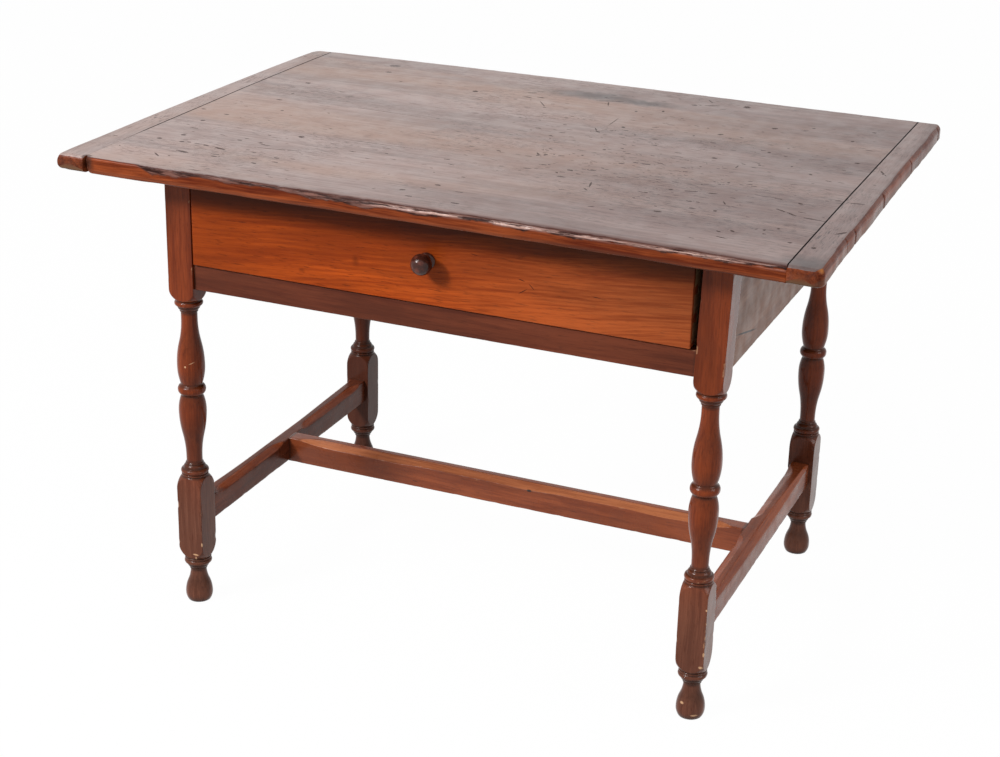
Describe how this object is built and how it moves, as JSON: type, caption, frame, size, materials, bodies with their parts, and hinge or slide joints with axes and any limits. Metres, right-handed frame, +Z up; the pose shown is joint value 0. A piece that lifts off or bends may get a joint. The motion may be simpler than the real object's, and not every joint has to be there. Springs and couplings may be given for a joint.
{
  "type": "tavern table",
  "caption": "Small joined table with a breadboard-ended top, turned legs, deep aprons, chamfered stretchers and a front drawer.",
  "frame": {"origin": "on the floor under the middle of the top", "axes": "+X along the table, -Y towards the drawer side, +Z up"},
  "size_m": [1.0566, 0.721, 0.68],
  "materials": {
    "top_wood": "satin, worn and dulled",
    "breadboard_wood": "satin, worn and dulled",
    "leg_wood": "satin old varnish",
    "rail_wood": "satin old varnish",
    "apron_wood": "satin old varnish",
    "stretcher_wood": "satin, worn on top",
    "drawer_front_wood": "satin old varnish",
    "secondary_wood": "bare, unfinished",
    "knob_wood": "ebonised, satin",
    "nail_iron": "dull, lightly rusted"
  },
  "bodies": {
    "table": {"front_left_leg": "leg_wood", "front_right_leg": "leg_wood", "back_left_leg": "leg_wood", "back_right_leg": "leg_wood", "drawer_rail": "rail_wood", "back_apron": "apron_wood", "left_apron": "apron_wood", "right_apron": "apron_wood", "left_stretcher": "stretcher_wood", "right_stretcher": "stretcher_wood", "medial_stretcher": "stretcher_wood", "left_runner": "secondary_wood", "right_runner": "secondary_wood", "left_guide": "secondary_wood", "right_guide": "secondary_wood", "left_drawer_stop": "secondary_wood", "right_drawer_stop": "secondary_wood", "left_front_block": "secondary_wood", "left_back_block": "secondary_wood", "right_front_block": "secondary_wood", "right_back_block": "secondary_wood", "back_left_block": "secondary_wood", "back_right_block": "secondary_wood", "top_board": "top_wood", "left_breadboard_end": "breadboard_wood", "right_breadboard_end": "breadboard_wood"},
    "drawer": {"drawer_front": "drawer_front_wood", "drawer_left_side": "secondary_wood", "drawer_right_side": "secondary_wood", "drawer_back": "secondary_wood", "drawer_bottom": "secondary_wood", "drawer_nails": "nail_iron", "drawer_knob": "knob_wood"}
  },
  "joints": [
    {"name": "drawer_slide", "type": "slide", "parent": "table", "child": "drawer", "axis": [0, -1, 0], "range_m": [0, 0.36]}
  ]
}
